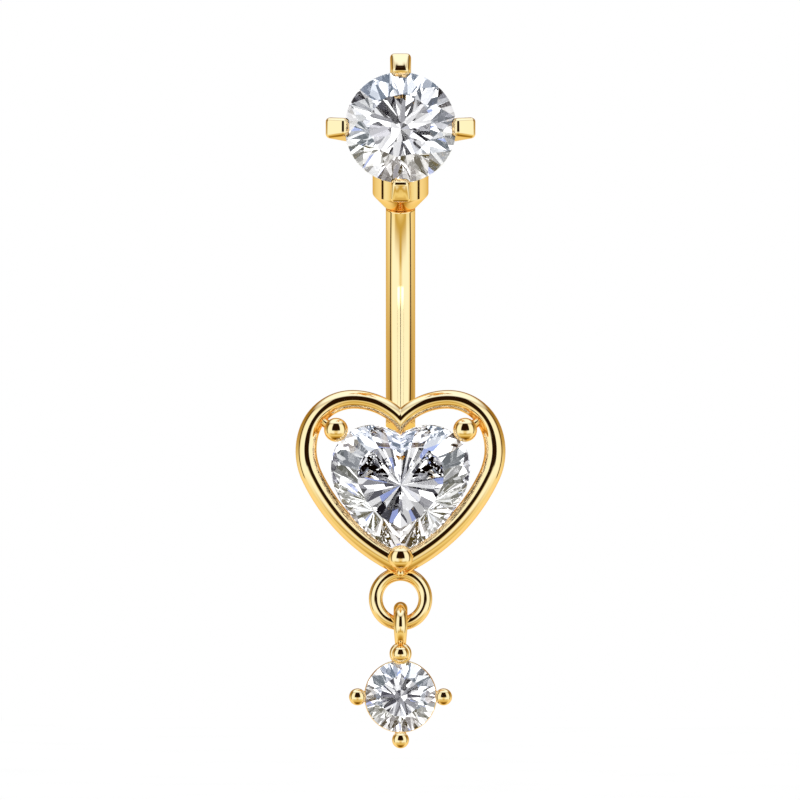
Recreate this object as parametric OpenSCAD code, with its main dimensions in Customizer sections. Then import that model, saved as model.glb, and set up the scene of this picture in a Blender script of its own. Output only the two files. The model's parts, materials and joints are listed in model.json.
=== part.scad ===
// Navel ring: a curved bar with a heart setting soldered to its lower end,
// a claw-set round stone that screws on at the top, and a small round drop
// that hangs free from a fixed ring under the heart. Millimetres.
// The front faces -Y, up is +Z, and the origin is the middle of the bar,
// where it passes through the piercing.

/* [Bar] */
// Thickness of the bar
bar_d = 1.6; // [1.4:0.1:2]
// Radius of the bar's curve, measured to its centreline
bar_curve_r = 18; // [14:0.5:30]
// Length of the bar above the origin, along its curve
bar_up = 6; // [4.5:0.1:8]
// Length of the bar below the origin, along its curve
bar_down = 6.1; // [4.5:0.1:8]
// Thickness of the post that takes the top
post_d = 1.2; // [0.8:0.05:1.3]
// Length of that post
post_l = 3; // [2:0.1:3.5]

/* [Heart stone] */
// Width of the heart stone
heart_w = 7.5; // [6:0.1:9]
// Height of the heart stone's crown above its girdle
heart_crown = 1.1; // [0.8:0.05:1.5]
// Depth of the heart stone's pavilion below its girdle
heart_pavilion = 3.15; // [2.4:0.05:3.6]
// Thickness of the heart stone's girdle
heart_girdle = 0.2; // [0.1:0.02:0.4]

/* [Heart setting] */
// Thickness of the wire of the heart frame
frame_wire = 1.06; // [0.8:0.02:1.3]
// How much thicker that wire is at the heart's tip than in its cleft
frame_taper = 0.16; // [0.06:0.02:0.24]
// Open space between the heart stone and the frame
halo_gap = 0.87; // [0.75:0.01:1.2]
// How far the heart stone's girdle stands in front of the frame's wire
heart_proud = 0.5; // [0.3:0.05:0.9]
// Thickness of the two balls that hold the heart's lobes
lobe_ball_d = 1.26; // [1.1:0.02:1.4]
// Thickness of the ball that holds the heart's tip
tip_ball_d = 1.34; // [1.1:0.02:1.5]
// Thickness of the posts behind the heart's balls
heart_post_d = 0.8; // [0.6:0.02:0.9]
// How far the undersides of the lobe balls lie below the girdle's front edge
lobe_ball_sink = 0.12; // [0.05:0.01:0.14]
// How far the tip ball's centre lies outside the stone's tip
tip_ball_out = 0.25; // [0.2:0.01:0.35]
// Thickness of the rail behind the heart stone and of the struts in the frame's plane
rail_wire = 0.56; // [0.4:0.02:0.7]
// Thickness of the struts that join the rail to its posts
strut_wire = 0.5; // [0.3:0.02:0.54]

/* [Hanging ring] */
// Outer width of the ring under the heart
ring_d = 3.44; // [3:0.02:4]
// Thickness of its wire
ring_wire = 0.75; // [0.5:0.01:0.9]
// How far the ring lies behind the middle of the frame's wire
ring_back = 0.35; // [0.1:0.05:0.5]
// How far the ring's outer edge reaches up behind the heart's tip
ring_lap = 0.5; // [0.3:0.02:0.7]

/* [Drop] */
// Width of the drop's round stone
drop_stone_d = 3.84; // [3:0.02:4.6]
// Outer height of the drop's bail
bail_h = 2.66; // [2.5:0.02:3.2]
// Thickness of the bail's wire
bail_wire = 0.76; // [0.5:0.02:0.8]
// Clearance between the bail and the ring that it hangs on
bail_gap = 0.05; // [0.03:0.01:0.1]
// Thickness of the drop's four balls
drop_ball_d = 0.92; // [0.8:0.02:1.1]
// Thickness of the drop's posts
drop_post_d = 0.6; // [0.5:0.02:0.7]
// How far each of those balls reaches over the stone's edge
drop_ball_over = 0.05; // [0.02:0.01:0.1]
// Thickness of the drop's two gallery rings
drop_gallery_wire = 0.5; // [0.4:0.02:0.6]
// How far the front gallery ring shows outside the stone
drop_gallery_show = 0.15; // [0.05:0.01:0.2]
// Width of the round lug between the bail and the drop's setting
lug_d = 1.2; // [0.9:0.05:1.3]
// Length of that lug from front to back
lug_l = 1.2; // [1:0.05:1.4]
// How far the lug reaches behind the middle of the bail
lug_back = 0.45; // [0.3:0.01:0.5]
// How far the bail sinks into the lug
bail_lap = 0.45; // [0.35:0.01:0.5]
// How far the drop's stone stands in front of the ring
drop_forward = 0.42; // [0.3:0.01:0.6]

/* [Top] */
// Width of the top's round stone
top_stone_d = 6; // [5:0.1:7]
// Width of the threaded socket behind the top stone
socket_d = 3.04; // [2.6:0.02:3.6]
// Length of the socket
socket_l = 4.6; // [4:0.1:5.5]
// Length of the socket's tapered foot
socket_taper = 0.78; // [0.5:0.02:1]
// Running clearance between the post and the socket's bore
thread_gap = 0.05; // [0.02:0.01:0.08]
// How far the top stone's girdle stands in front of the socket's axis
head_reach = 3.75; // [3.4:0.05:4.5]
// How far the top stone's centre lies above the socket's foot, along its axis
head_rise = 5.75; // [5.2:0.05:6.5]
// How far the top stone looks upwards, in degrees
head_tilt = 5; // [0:1:20]
// Width of a claw across its flat end
claw_w = 1.18; // [0.8:0.02:1.4]
// Depth of a claw from its inner to its outer edge, at its flat end
claw_depth = 1.16; // [0.8:0.02:1.4]
// How far each claw leans outwards, in degrees
claw_lean = 27; // [18:1:32]
// Height of a claw's flat end in front of the girdle
claw_tip = 0.5; // [0.3:0.05:0.8]
// Open space between the top stone's point and the floor of the claws' base
base_gap = 0.38; // [0.2:0.02:0.5]
// Thickness of that floor
base_floor = 0.5; // [0.4:0.05:0.8]
// Height of the base's rim above its back
base_h = 1.2; // [1:0.05:1.4]
// Thickness of the rim
base_wall = 0.5; // [0.3:0.05:0.6]

/* [Cut of the round stones] */
// Width of the table, as a share of the stone's width
table_share = 0.57; // [0.5:0.01:0.62]
// Height of the crown, as a share of the stone's width
crown_share = 0.15; // [0.12:0.005:0.17]
// Depth of the pavilion, as a share of the stone's width
pavilion_share = 0.43; // [0.38:0.005:0.45]
// Thickness of the girdle, as a share of the stone's width
girdle_share = 0.03; // [0.02:0.005:0.05]

/* [Fit] */
// Small gap between a stone and the metal that holds it
stone_gap = 0.04; // [0.02:0.01:0.08]
// Gap between the edge of the heart stone and its posts
post_gap = 0.06; // [0.04:0.01:0.1]
// Gap between the rail and the heart stone's pavilion
rail_gap = 0.13; // [0.11:0.01:0.2]
// Small gap between the bar's shoulder and the foot of the top
shoulder_gap = 0.04; // [0.02:0.01:0.1]

/* [Hidden] */
$fn = 48;

GOLD = "goldenrod";
CLEAR = "aliceblue";

// A heart's right half is four arcs that run into each other: the dip beside the cleft, the lobe,
// the side and the flank. Each row holds: lobe centre x, lobe radius, angle where the dip ends,
// dip radius, angle where the side begins, side radius, angle where the flank begins, flank
// radius. Lengths are shares of the heart's width.
LOBE_X = 0;
LOBE_R = 1;
DIP_TO = 2;
DIP_R = 3;
SIDE_FROM = 4;
SIDE_R = 5;
FLANK_FROM = 6;
FLANK_R = 7;
FRAME_SHAPE = [0.229, 0.267, 90, 0.352, 22, 0.332, -25.4, 0.934];
STONE_SHAPE = [0.2036, 0.2965, 80, 0.31, 8.4, 0.399, -23.3, 0.85];
// Height of the frame's lobes above the stone's lobes, as a share of the frame's width
FRAME_LIFT = 0.095;
// Height of the heart stone's culet above its lobe centres, as a share of the stone's width
CULET_LIFT = -0.14;
// Width of the rail as a share of the heart stone's width
RAIL_SHARE = 0.72;
// Where the facets of the two cuts meet, as shares of the way from the stone's middle to its edge
ROUND_STAR = 0.78;
ROUND_LOW = 0.24;
HEART_TABLE = 0.6;
HEART_STAR = 0.8;
HEART_LOW = 0.3;
// Radii of the claw base's foot and rim, as shares of the top stone's width
BASE_FOOT = 0.225;
BASE_RIM = 0.367;
// Radius of the back of the drop's basket and place of its front ring, as shares
// of the stone's width and of the basket's depth
BASKET_BACK = 0.415;
BASKET_FRONT = 0.43;

function toward(angle, length) = [length * cos(angle), length * sin(angle)];

// The four arcs of a right half, drawn inset from the outline: centre, radius, first and last angle
CENTRE = 0;
RADIUS = 1;
FIRST = 2;
LAST = 3;
function heart_arcs(shape, w, inset) =
    let (
        lobe = [shape[LOBE_X] * w, 0],
        dip = lobe - toward(shape[DIP_TO], (shape[DIP_R] - shape[LOBE_R]) * w),
        side = lobe - toward(shape[SIDE_FROM], (shape[SIDE_R] - shape[LOBE_R]) * w),
        flank = side - toward(shape[FLANK_FROM], (shape[FLANK_R] - shape[SIDE_R]) * w),
        dip_r = shape[DIP_R] * w - inset,
        flank_r = shape[FLANK_R] * w - inset)
    [
        [dip, dip_r, acos(-dip[0] / dip_r), shape[DIP_TO]],
        [lobe, shape[LOBE_R] * w - inset, shape[DIP_TO], shape[SIDE_FROM]],
        [side, shape[SIDE_R] * w - inset, shape[SIDE_FROM], shape[FLANK_FROM]],
        [flank, flank_r, shape[FLANK_FROM], -acos(-flank[0] / flank_r)]];
function on_arc(arc, angle) = arc[CENTRE] + toward(angle, arc[RADIUS]);
function cleft_y(shape, w, inset) = let (arc = heart_arcs(shape, w, inset)[0]) on_arc(arc, arc[FIRST])[1];
function tip_y(shape, w, inset) = let (arc = heart_arcs(shape, w, inset)[3]) on_arc(arc, arc[LAST])[1];

// Heart sizes that follow from the stone
frame_w = heart_w + 2 * halo_gap + 2 * frame_wire;
frame_inset = frame_wire / 2;
frame_lift = FRAME_LIFT * frame_w;
culet = [0, CULET_LIFT * heart_w];
cleft_mid_y = frame_lift + cleft_y(FRAME_SHAPE, frame_w, frame_inset);
tip_outer_y = frame_lift + tip_y(FRAME_SHAPE, frame_w, 0);

// The bar's two ends
up_angle = bar_up / bar_curve_r * 180 / PI;
down_angle = bar_down / bar_curve_r * 180 / PI;
shoulder_y = bar_curve_r * (cos(up_angle) - 1);
shoulder_z = bar_curve_r * sin(up_angle);
foot_y = bar_curve_r * (cos(down_angle) - 1);
foot_z = -bar_curve_r * sin(down_angle);
post_root = 0.5;

// The heart hangs so that the middle of its frame's cleft lies on the bar's lower end
solder_lap = 0.16;
cleft_above_foot = 0.25;
heart_z = foot_z + cleft_above_foot - cleft_mid_y;
frame_y = foot_y - bar_d / 2 - frame_wire / 2 + solder_lap;
heart_y = frame_y - heart_proud;

// Balls and posts of the heart
lobe_ball_angle = 43;
lobe_c = heart_arcs(STONE_SHAPE, heart_w, 0)[1][CENTRE];
post_out = STONE_SHAPE[LOBE_R] * heart_w + heart_post_d / 2 + post_gap;
lobe_post = lobe_c + toward(lobe_ball_angle, post_out);
lobe_ball_lift = heart_girdle / 2 + lobe_ball_d / 2 - lobe_ball_sink;
stone_tip_y = tip_y(STONE_SHAPE, heart_w, 0);
tip_ball_y = stone_tip_y - tip_ball_out;
tip_ball_lift = heart_girdle / 2 + stone_gap + tip_ball_d / 2;
tip_post_y = stone_tip_y - post_gap - heart_post_d / 2;
strut_lift = 0.15;
stay_root = 0.4;
frame_lobe_c = heart_arcs(FRAME_SHAPE, frame_w, 0)[1][CENTRE] + [0, frame_lift];
frame_lobe_mid_r = FRAME_SHAPE[LOBE_R] * frame_w - frame_inset;
strut_angle = atan2(lobe_post[1] - frame_lobe_c[1], lobe_post[0] - frame_lobe_c[0]);
strut_end = frame_lobe_c + toward(strut_angle, frame_lobe_mid_r);
rail_lobe_c = culet + RAIL_SHARE * (lobe_c - culet);
rail_r = RAIL_SHARE * STONE_SHAPE[LOBE_R] * heart_w;
rail_post = rail_lobe_c + toward(lobe_ball_angle, rail_r);
rail_tip = [0, culet[1] + RAIL_SHARE * (stone_tip_y - culet[1])];
rail_cleft = [0, culet[1] + RAIL_SHARE * (cleft_y(STONE_SHAPE, heart_w, 0) - culet[1])];

// The rail lies so far behind the girdle that it clears the pavilion where that is steepest,
// which is where the outline runs closest past the culet
function beside(arc, angle) = arc[RADIUS] + (arc[CENTRE] - culet) * toward(angle, 1);
closest = min([for (arc = heart_arcs(STONE_SHAPE, heart_w, 0)) for (end = [FIRST, LAST]) beside(arc, arc[end])]);
steepest = atan(heart_pavilion / closest);
rail_room = rail_wire / 2 + rail_gap;
rail_back = heart_girdle / 2 + (1 - RAIL_SHARE) * heart_pavilion + rail_room / cos(steepest);
post_back = rail_back + rail_wire / 4;

// The ring under the heart, and the place where the drop hangs in it
ring_y = frame_y + ring_back;
ring_mid_r = (ring_d - ring_wire) / 2;
ring_z = heart_z + tip_outer_y + ring_lap - ring_d / 2;
hinge_z = ring_z - ring_mid_r;
bail_mid_r = (bail_h - bail_wire) / 2;
bail_z = hinge_z + ring_wire / 2 + bail_gap + bail_wire / 2 - bail_mid_r;

// The drop
drop_ball_r = drop_stone_d / 2 + drop_ball_d / 2 - drop_ball_over;
drop_ball_lift = girdle_share * drop_stone_d / 2 + stone_gap + drop_ball_d / 4;
lug_z = bail_z - bail_h / 2 + bail_lap - lug_d / 2;
drop_z = lug_z - drop_ball_r;
drop_y = ring_y - drop_forward;

// The top, placed from the shoulder of the bar with Z along the socket
head_turn = up_angle + head_tilt;
bore_d = post_d + 2 * thread_gap;
bore_end_gap = 0.2;
bore_l = post_l + bore_end_gap;
base_front = -(girdle_share / 2 + pavilion_share) * top_stone_d - base_gap;
base_back = base_front - base_floor;

module at_shoulder() {
    translate([0, shoulder_y, shoulder_z]) rotate([up_angle, 0, 0]) children();
}

// Turns a shape drawn on its back, front side up, so that it faces forwards
module facing(y, z) {
    translate([0, y, z]) rotate([90, 0, 0]) children();
}

module at_head() {
    at_shoulder() translate([0, -head_reach, head_rise]) rotate([90 - head_turn, 0, 0]) children();
}

module both_sides(offset_z = 0) {
    translate([0, 0, offset_z / 2]) children();
    translate([0, 0, -offset_z / 2]) mirror([1, 0, 0]) children();
}

module torus(mid_r, wire_d) {
    rotate_extrude() translate([mid_r, 0]) circle(d = wire_d);
}

module arc_wire(arc, past_first, past_last, wire_d) {
    translate([arc[CENTRE][0], arc[CENTRE][1], 0])
        rotate_extrude(angle = arc[FIRST] - arc[LAST] + past_first + past_last, start = arc[LAST] - past_last)
            translate([arc[RADIUS], 0]) circle(d = wire_d);
}

module rod(from, to, d) {
    way = to - from;
    length = norm(way);
    translate(from)
        rotate([0, acos(way[2] / length), atan2(way[1], way[0])])
            cylinder(d = d, h = length);
}

// A wire bent to a heart, a little thicker from arc to arc towards the tip. Each arc runs a hair
// into the next, thicker one. The two halves meet at a sharp mitre in the cleft and at the tip,
// where each reaches a hair past the middle and they are a hair apart in depth.
module heart_wire(shape, w, inset, wire_d, taper) {
    past = 12;
    lap = 1.5;
    overlap = 0.06;
    offset_z = 0.02;
    far = 4 * w;
    arcs = heart_arcs(shape, w, inset);
    last = len(arcs) - 1;
    both_sides(offset_z) difference() {
        for (k = [0:last])
            arc_wire(arcs[k], k == 0 ? past : 0, k == last ? past / 2 : lap, wire_d + taper * (k / last - 0.5));
        translate([-far - overlap, -far / 2, -far / 2]) cube(far);
    }
}

module curved_bar() {
    translate([0, -bar_curve_r, 0]) rotate([90, 0, 90])
        rotate_extrude(angle = up_angle + down_angle, start = -down_angle)
            translate([bar_curve_r, 0]) circle(d = bar_d);
    at_shoulder() translate([0, 0, -post_root]) cylinder(d = post_d, h = post_l + post_root);
}

module heart_prongs() {
    both_sides() {
        rod([lobe_post[0], lobe_post[1], -post_back],
            [lobe_post[0], lobe_post[1], lobe_ball_lift], heart_post_d);
        translate([lobe_post[0], lobe_post[1], lobe_ball_lift]) sphere(d = lobe_ball_d);
        rod([lobe_post[0], lobe_post[1], strut_lift - heart_proud],
            [strut_end[0], strut_end[1], strut_lift - heart_proud], rail_wire);
        rod([rail_post[0], rail_post[1], -rail_back],
            [lobe_post[0], lobe_post[1], -rail_back], strut_wire);
    }
    rod([0, tip_post_y, -post_back], [0, tip_post_y, tip_ball_lift - tip_ball_d / 8], heart_post_d);
    translate([0, tip_ball_y, tip_ball_lift]) sphere(d = tip_ball_d);
    rod([0, rail_tip[1], -rail_back], [0, tip_post_y, -rail_back], strut_wire);
}

module rail() {
    translate([0, culet[1] * (1 - RAIL_SHARE), -rail_back])
        heart_wire(STONE_SHAPE, heart_w * RAIL_SHARE, 0, rail_wire, rail_wire / 8);
}

module heart_barbell() color(GOLD) {
    curved_bar();
    facing(frame_y, heart_z) translate([0, frame_lift, 0])
        heart_wire(FRAME_SHAPE, frame_w, frame_inset, frame_wire, frame_taper);
    facing(heart_y, heart_z) {
        heart_prongs();
        rail();
    }
    rod([0, foot_y, foot_z + stay_root], [0, heart_y + rail_back, heart_z + rail_cleft[1]], rail_wire);
    facing(ring_y, ring_z) torus(ring_mid_r, ring_wire);
}

// A brilliant cut over any outline. The points of the outline run clockwise from the top,
// and every second one carries a main facet.
module cut_stone(outline, centre, table, star, low, crown, pavilion, girdle) {
    n = len(outline) / 2;
    share = cos(180 / n);
    star_h = girdle / 2 + crown * (1 - share * star) / (1 - table);
    low_h = -girdle / 2 - pavilion * (1 - share * low);
    function at(k, s, h) = let (p = centre + s * (outline[k] - centre)) [p[0], p[1], h];
    points = concat(
        [[centre[0], centre[1], girdle / 2 + crown]],
        [for (k = [0:n - 1]) at(2 * k, table, girdle / 2 + crown)],
        [for (k = [0:n - 1]) at(2 * k + 1, star, star_h)],
        [for (k = [0:2 * n - 1]) at(k, 1, girdle / 2)],
        [for (k = [0:2 * n - 1]) at(k, 1, -girdle / 2)],
        [for (k = [0:n - 1]) at(2 * k + 1, low, low_h)],
        [[centre[0], centre[1], -girdle / 2 - pavilion]]);
    function t(k) = 1 + (k + n) % n;
    function s(k) = 1 + n + (k + n) % n;
    function g(k) = 1 + 2 * n + (k + 2 * n) % (2 * n);
    function b(k) = g(k) + 2 * n;
    function l(k) = 1 + 6 * n + (k + n) % n;
    tip = 1 + 7 * n;
    crown_faces = [for (k = [0:n - 1]) each [
        [0, t(k), t(k + 1)],
        [t(k), s(k), t(k + 1)],
        [t(k), s(k - 1), g(2 * k)],
        [t(k), g(2 * k), s(k)],
        [s(k), g(2 * k), g(2 * k + 1)],
        [s(k), g(2 * k + 1), g(2 * k + 2)]]];
    girdle_faces = [for (k = [0:2 * n - 1]) each [
        [g(k), b(k), b(k + 1)],
        [g(k), b(k + 1), g(k + 1)]]];
    pavilion_faces = [for (k = [0:n - 1]) each [
        [l(k), b(2 * k + 1), b(2 * k)],
        [l(k), b(2 * k + 2), b(2 * k + 1)],
        [tip, l(k), b(2 * k)],
        [tip, b(2 * k), l(k - 1)]]];
    polyhedron(points, concat(crown_faces, girdle_faces, pavilion_faces));
}

module round_brilliant(d) {
    mains = 8;
    outline = [for (k = [0:2 * mains - 1]) d / 2 * [sin(k * 180 / mains), cos(k * 180 / mains)]];
    cut_stone(outline, [0, 0], table_share, ROUND_STAR, ROUND_LOW,
        crown_share * d, pavilion_share * d, girdle_share * d);
}

// The right half of a heart's outline, from the cleft to the tip, then the left half back up.
// Each arc is drawn in as many straight steps as the table of its heart says.
STONE_STEPS = [2, 4, 2, 4];
function heart_outline(shape, w) =
    let (
        arcs = heart_arcs(shape, w, 0),
        right = concat(
            [for (k = [0:len(arcs) - 1]) for (step = [0:STONE_STEPS[k] - 1])
                on_arc(arcs[k], arcs[k][FIRST] + (arcs[k][LAST] - arcs[k][FIRST]) * step / STONE_STEPS[k])],
            [[0, tip_y(shape, w, 0)]]),
        last = len(right) - 1)
    concat(right, [for (k = [last - 1:-1:1]) [-right[k][0], right[k][1]]]);

module heart_stone() color(CLEAR) {
    facing(heart_y, heart_z)
        cut_stone(heart_outline(STONE_SHAPE, heart_w), culet, HEART_TABLE, HEART_STAR, HEART_LOW,
            heart_crown, heart_pavilion, heart_girdle);
}

// The space that a round stone needs in its setting, open to the front
module stone_seat(d) {
    r = d / 2 + stone_gap;
    girdle = girdle_share * d / 2 + stone_gap;
    crown = girdle + crown_share * d;
    rotate_extrude() polygon([
        [0, -girdle - pavilion_share * d],
        [r, -girdle],
        [r, girdle],
        [r * table_share + stone_gap, crown],
        [r * table_share + stone_gap, 2 * crown],
        [0, 2 * crown]]);
}

module socket() {
    lip = 0.05;
    edge = 0.3;
    foot_d = bar_d + 2 * lip;
    rotate_extrude() polygon([
        [bore_d / 2, shoulder_gap],
        [foot_d / 2, shoulder_gap],
        [socket_d / 2, socket_taper],
        [socket_d / 2, socket_l - edge],
        [socket_d / 2 - edge, socket_l],
        [0, socket_l],
        [0, bore_l],
        [bore_d / 2, bore_l]]);
}

// One claw, drawn from its root to its flat end: a leaning bar of even thickness
module claw(root) {
    bite = 0.03;
    inner = top_stone_d / 2 - bite;
    shift = (claw_tip - root) * tan(claw_lean);
    rotate([90, 0, 0]) linear_extrude(claw_w, center = true) polygon([
        [inner - shift, root],
        [inner - shift + claw_depth, root],
        [inner + claw_depth, claw_tip],
        [inner, claw_tip]]);
}

module claw_base() {
    foot_r = BASE_FOOT * top_stone_d;
    rim_r = BASE_RIM * top_stone_d;
    rotate_extrude() polygon([
        [0, base_back],
        [foot_r, base_back],
        [rim_r, base_back + base_h],
        [rim_r - base_wall, base_back + base_h],
        [foot_r - base_wall / 2, base_front],
        [0, base_front]]);
}

module top_setting() color(GOLD) {
    difference() {
        union() {
            at_shoulder() socket();
            at_head() {
                claw_base();
                for (k = [0:3]) rotate(90 * k) claw(base_front);
            }
        }
        at_head() stone_seat(top_stone_d);
        at_shoulder() translate([0, 0, -1]) cylinder(d = bore_d, h = bore_l + 1);
    }
}

module top_stone() color(CLEAR) {
    at_head() round_brilliant(top_stone_d);
}

module drop_basket() {
    back = -(girdle_share / 2 + pavilion_share) * drop_stone_d - stone_gap;
    back_r = BASKET_BACK * drop_stone_d;
    front_r = drop_stone_d / 2 + drop_gallery_show - drop_gallery_wire / 2;
    for (k = [0:3]) rotate(90 * k) {
        rod([back_r, 0, back], [drop_ball_r, 0, drop_ball_lift], drop_post_d);
        translate([drop_ball_r, 0, drop_ball_lift]) sphere(d = drop_ball_d);
    }
    translate([0, 0, BASKET_FRONT * back]) torus(front_r, drop_gallery_wire);
    translate([0, 0, back]) torus(back_r - drop_ball_over, drop_gallery_wire);
}

module drop_setting() color(GOLD) {
    difference() {
        union() {
            facing(drop_y, drop_z) drop_basket();
            translate([0, ring_y, bail_z]) rotate([0, 90, 0]) torus(bail_mid_r, bail_wire);
            facing(ring_y + lug_back, lug_z) cylinder(d = lug_d, h = lug_l);
        }
        facing(drop_y, drop_z) stone_seat(drop_stone_d);
    }
}

module drop_stone() color(CLEAR) {
    facing(drop_y, drop_z) round_brilliant(drop_stone_d);
}

heart_barbell();
heart_stone();
top_setting();
top_stone();
drop_setting();
drop_stone();
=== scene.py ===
# %% [markdown]
# A gold-plated navel ring with three clear stones, built around its measured frame.
# The frame carries the sizes, the places and the two joints. This lesson gives every
# piece its finished shape and surface. All shapes are drawn in millimetres, with the
# front towards -Y and up towards +Z, and are turned into metres when they are placed.

import json
import math

import bmesh
import bpy
from mathutils import Matrix, Vector


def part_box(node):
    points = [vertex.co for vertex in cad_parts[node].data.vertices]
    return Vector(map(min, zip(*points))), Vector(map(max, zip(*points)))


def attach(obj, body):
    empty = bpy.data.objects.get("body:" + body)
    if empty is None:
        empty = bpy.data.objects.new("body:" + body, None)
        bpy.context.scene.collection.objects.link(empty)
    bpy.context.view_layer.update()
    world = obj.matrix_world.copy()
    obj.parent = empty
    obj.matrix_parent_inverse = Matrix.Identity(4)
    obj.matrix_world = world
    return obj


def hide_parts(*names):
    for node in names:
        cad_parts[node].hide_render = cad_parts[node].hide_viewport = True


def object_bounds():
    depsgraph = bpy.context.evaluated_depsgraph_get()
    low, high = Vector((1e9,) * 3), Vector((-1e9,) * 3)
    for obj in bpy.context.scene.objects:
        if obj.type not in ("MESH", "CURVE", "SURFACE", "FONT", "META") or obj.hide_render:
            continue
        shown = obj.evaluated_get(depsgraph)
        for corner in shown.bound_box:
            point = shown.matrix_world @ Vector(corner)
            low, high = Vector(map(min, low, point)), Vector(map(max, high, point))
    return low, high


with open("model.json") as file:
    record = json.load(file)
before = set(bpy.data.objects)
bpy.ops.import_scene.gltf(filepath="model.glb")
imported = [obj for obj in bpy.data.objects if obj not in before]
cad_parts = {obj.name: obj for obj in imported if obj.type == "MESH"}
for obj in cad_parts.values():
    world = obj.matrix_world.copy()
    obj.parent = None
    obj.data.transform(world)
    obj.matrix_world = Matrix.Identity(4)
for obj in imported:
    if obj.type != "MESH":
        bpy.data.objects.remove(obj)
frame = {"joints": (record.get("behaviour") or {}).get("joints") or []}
cad_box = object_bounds()
scene = bpy.context.scene
MM = 0.001
print("CAD box, mm:", [[round(v / MM, 3) for v in corner] for corner in cad_box])

# %% [markdown]
# Every piece starts as a small bmesh. Three helpers do the repeated work: one adds a
# finished part to a piece, one turns a side profile into a round part as a lathe does,
# and one pushes a round section along a path, which is how a bent wire is made.

# %% Helpers for shapes
FRONT = Matrix.Rotation(math.radians(90), 4, "X")


def join(piece, part, place=Matrix.Identity(4)):
    """Adds a part to a piece at its place, with its faces turned outwards."""
    bmesh.ops.transform(part, matrix=place, verts=part.verts)
    bmesh.ops.recalc_face_normals(part, faces=part.faces)
    mesh = bpy.data.meshes.new("part")
    part.to_mesh(mesh)
    part.free()
    piece.from_mesh(mesh)
    bpy.data.meshes.remove(mesh)


def round_edges(part, size, segments=3, sharper_than=25):
    """Rounds every edge of a part that is sharper than an angle."""
    limit = math.radians(sharper_than)
    sharp = [e for e in part.edges if e.is_manifold and e.calc_face_angle() > limit]
    bmesh.ops.bevel(
        part, geom=sharp, offset=size, offset_type="OFFSET", affect="EDGES",
        segments=segments, profile=0.5, material=-1, clamp_overlap=True)


def lathe(profile, steps=64, edge=0.0):
    """A round part about Z from a profile of radius and height pairs."""
    part = bmesh.new()
    line = [part.verts.new((radius, 0, height)) for radius, height in profile]
    edges = [part.edges.new(pair) for pair in zip(line, line[1:])]
    bmesh.ops.spin(
        part, geom=line + edges, cent=(0, 0, 0), axis=(0, 0, 1),
        angle=math.tau, steps=steps, use_merge=True)
    bmesh.ops.remove_doubles(part, verts=part.verts, dist=1e-5)
    bmesh.ops.recalc_face_normals(part, faces=part.faces)
    if edge:
        round_edges(part, edge)
    return part


def sweep(stations, sides=32, capped=True):
    """A wire: a round section pushed from station to station. A station is a 4x4 matrix
    that turns, sizes and places a circle of radius 1, whose Z is the wire's heading."""
    part = bmesh.new()
    ring = bmesh.ops.create_circle(part, radius=1, segments=sides)["verts"]
    edges = part.edges[:]
    bmesh.ops.transform(part, matrix=stations[0], verts=ring)
    first = edges
    for before, station in zip(stations, stations[1:]):
        grown = bmesh.ops.extrude_edge_only(part, edges=edges)["geom"]
        ring = [g for g in grown if isinstance(g, bmesh.types.BMVert)]
        inside = set(ring)
        edges = [
            g for g in grown
            if isinstance(g, bmesh.types.BMEdge) and inside.issuperset(g.verts)]
        bmesh.ops.transform(part, matrix=station @ before.inverted(), verts=ring)
    if capped:
        bmesh.ops.holes_fill(part, edges=first + edges, sides=0)
    return part


def station(centre, heading, side, radius, lean=0.0):
    """The matrix of one section of a wire. Side is any direction across the heading, and a
    lean slides the section's far side along its other axis."""
    z = Vector(heading).normalized()
    y = z.cross(Vector(side)).normalized()
    x = y.cross(z)
    turned = Matrix((x + lean * y, y, z)).transposed().to_4x4()
    return Matrix.Translation(centre) @ turned @ Matrix.Diagonal((radius, radius, radius, 1))


def rod(start, end, diameter, sides=24, flare=0.0):
    """A straight wire. A flare widens both ends as solder does where it wets a joint."""
    start, end = Vector(start), Vector(end)
    way = end - start
    side = Vector((0, 0, 1)) if abs(way.normalized().z) < 0.9 else Vector((1, 0, 0))
    shares = [0, 0.1, 0.22, 0.5, 0.78, 0.9, 1] if flare else [0, 1]
    wide = {0: 1, 0.1: 0.45, 0.22: 0.1, 0.78: 0.1, 0.9: 0.45, 1: 1}
    return sweep(
        [station(start + way * s, way, side, diameter / 2 + flare * wide.get(s, 0)) for s in shares],
        sides)


def torus(mid_radius, wire, steps=96, sides=32):
    """A closed ring of round wire about Z."""
    part = bmesh.new()
    across = Matrix.Translation((mid_radius, 0, 0)) @ Matrix.Rotation(math.radians(90), 4, "X")
    bmesh.ops.create_circle(part, radius=wire / 2, segments=sides, matrix=across)
    bmesh.ops.spin(
        part, geom=part.verts[:] + part.edges[:], cent=(0, 0, 0), axis=(0, 0, 1),
        angle=math.tau, steps=steps, use_merge=True)
    return part


BALL_FLATNESS = 2.45


def ball(diameter):
    """A polished ball whose front, towards +Z, is worn a little flatter than a sphere."""
    part = bmesh.new()
    radius = diameter / 2
    bmesh.ops.create_uvsphere(part, u_segments=48, v_segments=48, radius=radius)
    for v in part.verts:
        off_axis = min(1, math.hypot(v.co.x, v.co.y) / radius)
        if v.co.z > 0:
            v.co.z = radius * (1 - off_axis ** BALL_FLATNESS) ** (1 / BALL_FLATNESS)
    return part


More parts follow.
